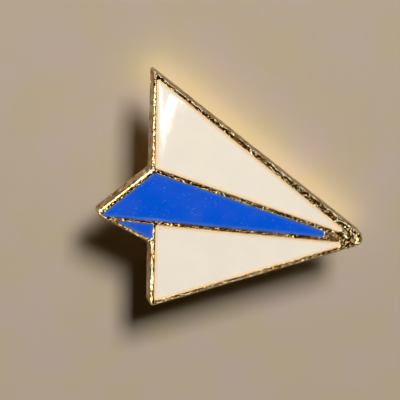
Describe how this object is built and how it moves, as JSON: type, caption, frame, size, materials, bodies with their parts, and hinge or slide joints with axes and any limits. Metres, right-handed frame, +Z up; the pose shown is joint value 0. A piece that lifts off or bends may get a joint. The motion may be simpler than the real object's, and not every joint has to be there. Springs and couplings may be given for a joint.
{
  "type": "enamel lapel badge",
  "caption": "Lapel badge shaped like a folded paper plane: struck metal plate with glossy enamel cells, pin post and butterfly clutch.",
  "frame": {"origin": "centre of the bounding box in plan, at the level of the surface that the clutch's end stands on", "axes": "+Z up and out of the enamelled face; the plane's nose points along +X; +Y towards the far wing's tip"},
  "size_m": [0.0282, 0.0254, 0.0101],
  "materials": {
    "plate_gold": "thin gold plating over a struck zinc or brass blank, bright rims, dark lumpy nose",
    "white_enamel": "warm white filled enamel, glossy",
    "blue_enamel": "royal blue filled enamel, glossy, fine pale specks",
    "post_gold": "gold plated, bright",
    "solder": "matt grey solder bead",
    "clutch_brass": "stamped brass, bright",
    "spring_steel": "drawn wire"
  },
  "bodies": {
    "clutch": {"clutch_base": "clutch_brass", "clutch_cap": "clutch_brass", "clutch_spring": "spring_steel"},
    "badge": {"base_plate": "plate_gold", "enamel_far_wing": "white_enamel", "enamel_near_wing": "white_enamel", "enamel_keel": "blue_enamel", "enamel_tail": "blue_enamel", "post": "post_gold", "post_solder": "solder"},
    "far_tab": {"clutch_tab_far": "clutch_brass"},
    "near_tab": {"clutch_tab_near": "clutch_brass"}
  },
  "joints": [
    {"name": "badge_slide", "type": "slide", "parent": "clutch", "child": "badge", "axis": [0, 0, 1], "range_m": [0, 0.008], "deforming": ["clutch_spring"]},
    {"name": "far_tab_squeeze", "type": "slide", "parent": "clutch", "child": "far_tab", "axis": [0, -1, 0], "range_m": [0, 0.00055], "stiffness_N_per_m": 50, "deforming": ["clutch_spring"]},
    {"name": "near_tab_squeeze", "type": "slide", "parent": "clutch", "child": "near_tab", "axis": [0, 1, 0], "range_m": [0, 0.00055], "stiffness_N_per_m": 50, "deforming": ["clutch_spring"]}
  ],
  "couplings": [
    {"joint": "near_tab_squeeze", "follows": "far_tab_squeeze", "ratio": 1}
  ]
}
